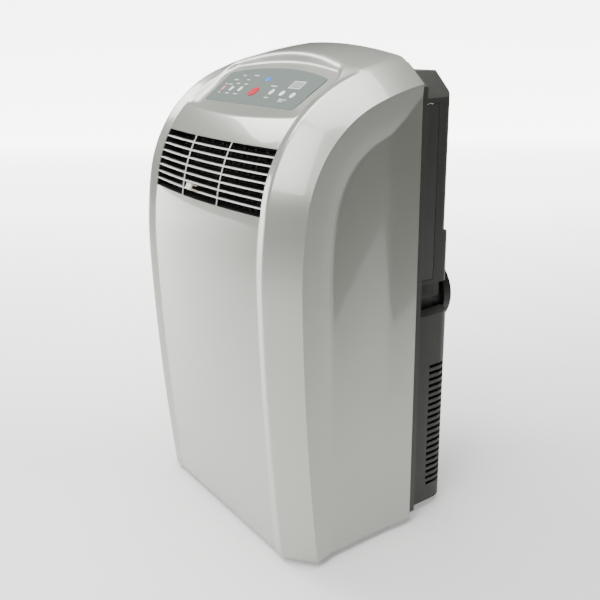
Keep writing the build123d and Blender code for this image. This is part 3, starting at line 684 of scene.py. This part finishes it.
# ---------------------------------------------------------------- casters
# Twin-cheek nylon forks that swivel under the tray, each with a grey nylon wheel on a pin.  Both
# are injection moulded, and the fork's stem is pressed into the tray's boss.
caster_black = moulded("caster_nylon_black", (0.02, 0.02, 0.021), roughness=0.5, fleck=0.15, grain=800,
                       bump=0.2)
caster_grey = moulded("caster_nylon_grey", (0.10, 0.10, 0.10), roughness=0.5, fleck=0.12, grain=800,
                      bump=0.2)
for corner in ("front_left", "front_right", "rear_left", "rear_right"):
    from_cad("caster_fork_" + corner, caster_black, "caster_fork_" + corner, "caster_black",
             radius=0.0007)
    from_cad("caster_wheel_" + corner, caster_grey, "caster_wheel_" + corner, "caster_grey",
             radius=0.0009)


# ---------------------------------------------------------------- works inside
# Ducts, blowers, coils and the sealed circuit keep the CAD's meshes; each gets its real stuff:
# white and black mouldings, bare aluminium fins, copper pipe, black-painted steel and a green board.
def dress(material, *names):
    """Give CAD meshes that stay as they are their material."""
    for name in names:
        mesh = nodes[name].data
        mesh.materials.clear()
        mesh.materials.append(material)


VANES = 9
vane_grey = moulded("vane_grey_abs", (0.10, 0.10, 0.10), fleck=0.05, bump=0.1)
works_white = moulded("works_white_abs", (0.62, 0.62, 0.59), roughness=0.5, fleck=0.03, bump=0.1)
works_black = moulded("works_black_abs", (0.02, 0.02, 0.021), roughness=0.5, fleck=0.15, bump=0.1)
can_steel = moulded("motor_can_steel", (0.45, 0.45, 0.44), metallic=1.0, roughness=0.4, fleck=0.1,
                    grain=500, bump=0.1)
coil_aluminium = moulded("coil_aluminium", (0.75, 0.76, 0.77), metallic=1.0, roughness=0.35, fleck=0.06,
                         grain=700, bump=0.2)
enamel = moulded("compressor_enamel", (0.015, 0.015, 0.016), roughness=0.3, coat=0.3, fleck=0.2,
                 grain=300, bump=0.1)
rubber = moulded("rubber_foot", (0.02, 0.02, 0.02), roughness=0.75, fleck=0.2, bump=0.3)
copper = moulded("pipe_copper", (0.80, 0.38, 0.22), metallic=1.0, roughness=0.3, fleck=0.12, grain=200,
                 bump=0.1)
board_green = moulded("board_green", (0.02, 0.16, 0.06), roughness=0.4, coat=0.3, fleck=0.25, grain=400,
                      bump=0.2)
dress(black, "outlet_duct")
dress(vane_grey, "vane_link", *["vane_%d" % n for n in range(1, VANES + 1)])
dress(works_white, "room_blower_housing", "room_blower_wheel")
dress(works_black, "middle_deck", "exhaust_blower_housing", "exhaust_blower_wheel")
dress(can_steel, "exhaust_blower_motor", "room_blower_motor", "electrical_box")
dress(coil_aluminium, "evaporator_coil", "condenser_coil")
dress(enamel, "compressor")
dress(rubber, "compressor_feet")
dress(copper, "refrigerant_pipes")
dress(board_green, "control_board")


# ---------------------------------------------------------------- floor and light
# White paper on a dark floor under three softboxes: overhead, in front and upper left.  The paper's
# right edge is close enough that the cabinet's side mirrors the dark floor beyond it.  The paper also
# glows by itself as painted light: dim beside the cabinet, which keeps a painted shade there, and
# brighter farther away; the wall glows evenly.
WHITE = (0.90, 0.90, 0.89)
GLOW_AWAY = (-0.82, 0.57, 0)
GLOW_START = 0.1
GLOW_END = 2.4
PAPER_GLOW = (0.32, 4.2)
WALL_GLOW = (4.4, 4.4)
paper = moulded("white_paper", WHITE, roughness=0.9, fleck=0.004, grain=300, bump=0.02)
dark_floor = moulded("studio_floor", (0.05, 0.05, 0.047), roughness=0.8, fleck=0.05, grain=60)
wall_white = moulded("wall_white", WHITE, roughness=0.9, fleck=0.004, grain=300, bump=0.02)
# Painted light: the paper's emission rises with distance from the cabinet; the wall's is even.
for material, (near, far) in ((paper, PAPER_GLOW), (wall_white, WALL_GLOW)):
    tree = material.node_tree
    shader = tree.nodes["Principled BSDF"]
    shader.inputs["Emission Color"].default_value = (1.0, 1.0, 0.985, 1)
    place = tree.nodes.new("ShaderNodeTexCoord")
    reach = tree.nodes.new("ShaderNodeVectorMath")
    reach.operation = "DOT_PRODUCT"
    reach.inputs[1].default_value = GLOW_AWAY
    glow = tree.nodes.new("ShaderNodeMapRange")
    glow.inputs["From Min"].default_value = GLOW_START
    glow.inputs["From Max"].default_value = GLOW_END
    glow.inputs["To Min"].default_value = near
    glow.inputs["To Max"].default_value = far
    tree.links.new(place.outputs["Object"], reach.inputs[0])
    tree.links.new(reach.outputs["Value"], glow.inputs["Value"])
    tree.links.new(glow.outputs["Result"], shader.inputs["Emission Strength"])


def staged(name, corners, material):
    """A flat sheet of the studio; corners run front left, front right, back left, back right."""
    bm = bmesh.new()
    bmesh.ops.create_grid(bm, x_segments=1, y_segments=1, size=1.0)
    for vert in bm.verts:
        vert.co = Vector(corners[(0 if vert.co.y < 0 else 2) + (0 if vert.co.x < 0 else 1)])
    mesh = bpy.data.meshes.new(name)
    bm.to_mesh(mesh)
    bm.free()
    piece = bpy.data.objects.new(name, mesh)
    mesh.materials.append(material)
    scene.collection.objects.link(piece)


# The paper's right edge runs slantwise from the corner beside the cabinet to the front and to the
# back; a lit wall closes it behind.
PAPER_CORNER = (0.62, 0.07, 0)
PAPER_LEFT = -7.0
SEAM_LEFT = (PAPER_LEFT, PAPER_CORNER[1], 0)
DROP = -0.01
WALL_FRONT = (-7.3, -2.2)
WALL_BACK = (-0.35, 7.6)
WALL_TOP = 1.3
FLOOR_HALF = 20
staged("paper", [SEAM_LEFT, PAPER_CORNER, (PAPER_LEFT, 9.0, 0), (7.0, 7.0, 0)], paper)
staged("front_paper", [(PAPER_LEFT, -7.0, 0), (4.0, -7.0, 0), SEAM_LEFT, PAPER_CORNER], paper)
staged("wall", [(*WALL_FRONT, DROP), (*WALL_BACK, DROP), (*WALL_FRONT, WALL_TOP), (*WALL_BACK, WALL_TOP)],
       wall_white)
staged("studio_floor", [(x, y, DROP) for y in (-FLOOR_HALF, FLOOR_HALF) for x in (-FLOOR_HALF, FLOOR_HALF)],
       dark_floor)


def softbox(name, place, target, width, height, watts):
    """One rectangular lamp, aimed at a point."""
    data = bpy.data.lights.new(name, "AREA")
    data.shape = "RECTANGLE"
    data.size, data.size_y = width, height
    data.energy = watts
    lamp = bpy.data.objects.new(name, data)
    aim = (Vector(target) - Vector(place)).to_track_quat("-Z", "Y").to_matrix().to_4x4()
    lamp.matrix_world = Matrix.Translation(place) @ aim
    scene.collection.objects.link(lamp)


softbox("overhead", (0.0, -0.1, 2.4), target=(-0.1, -0.1, 0.5), width=1.5, height=1.7, watts=62)
softbox("front", (0.55, -1.75, 2.0), target=(0.1, 0, 0.6), width=1.3, height=1.9, watts=58)
softbox("upper_left", (-1.2, -0.5, 2.2), target=(0, 0, 0.6), width=0.9, height=1.3, watts=38)

world = bpy.data.worlds.new("studio")
world.use_nodes = True
background = world.node_tree.nodes["Background"]
background.inputs["Color"].default_value = (1.0, 1.0, 1.0, 1)
background.inputs["Strength"].default_value = 0.10
scene.world = world
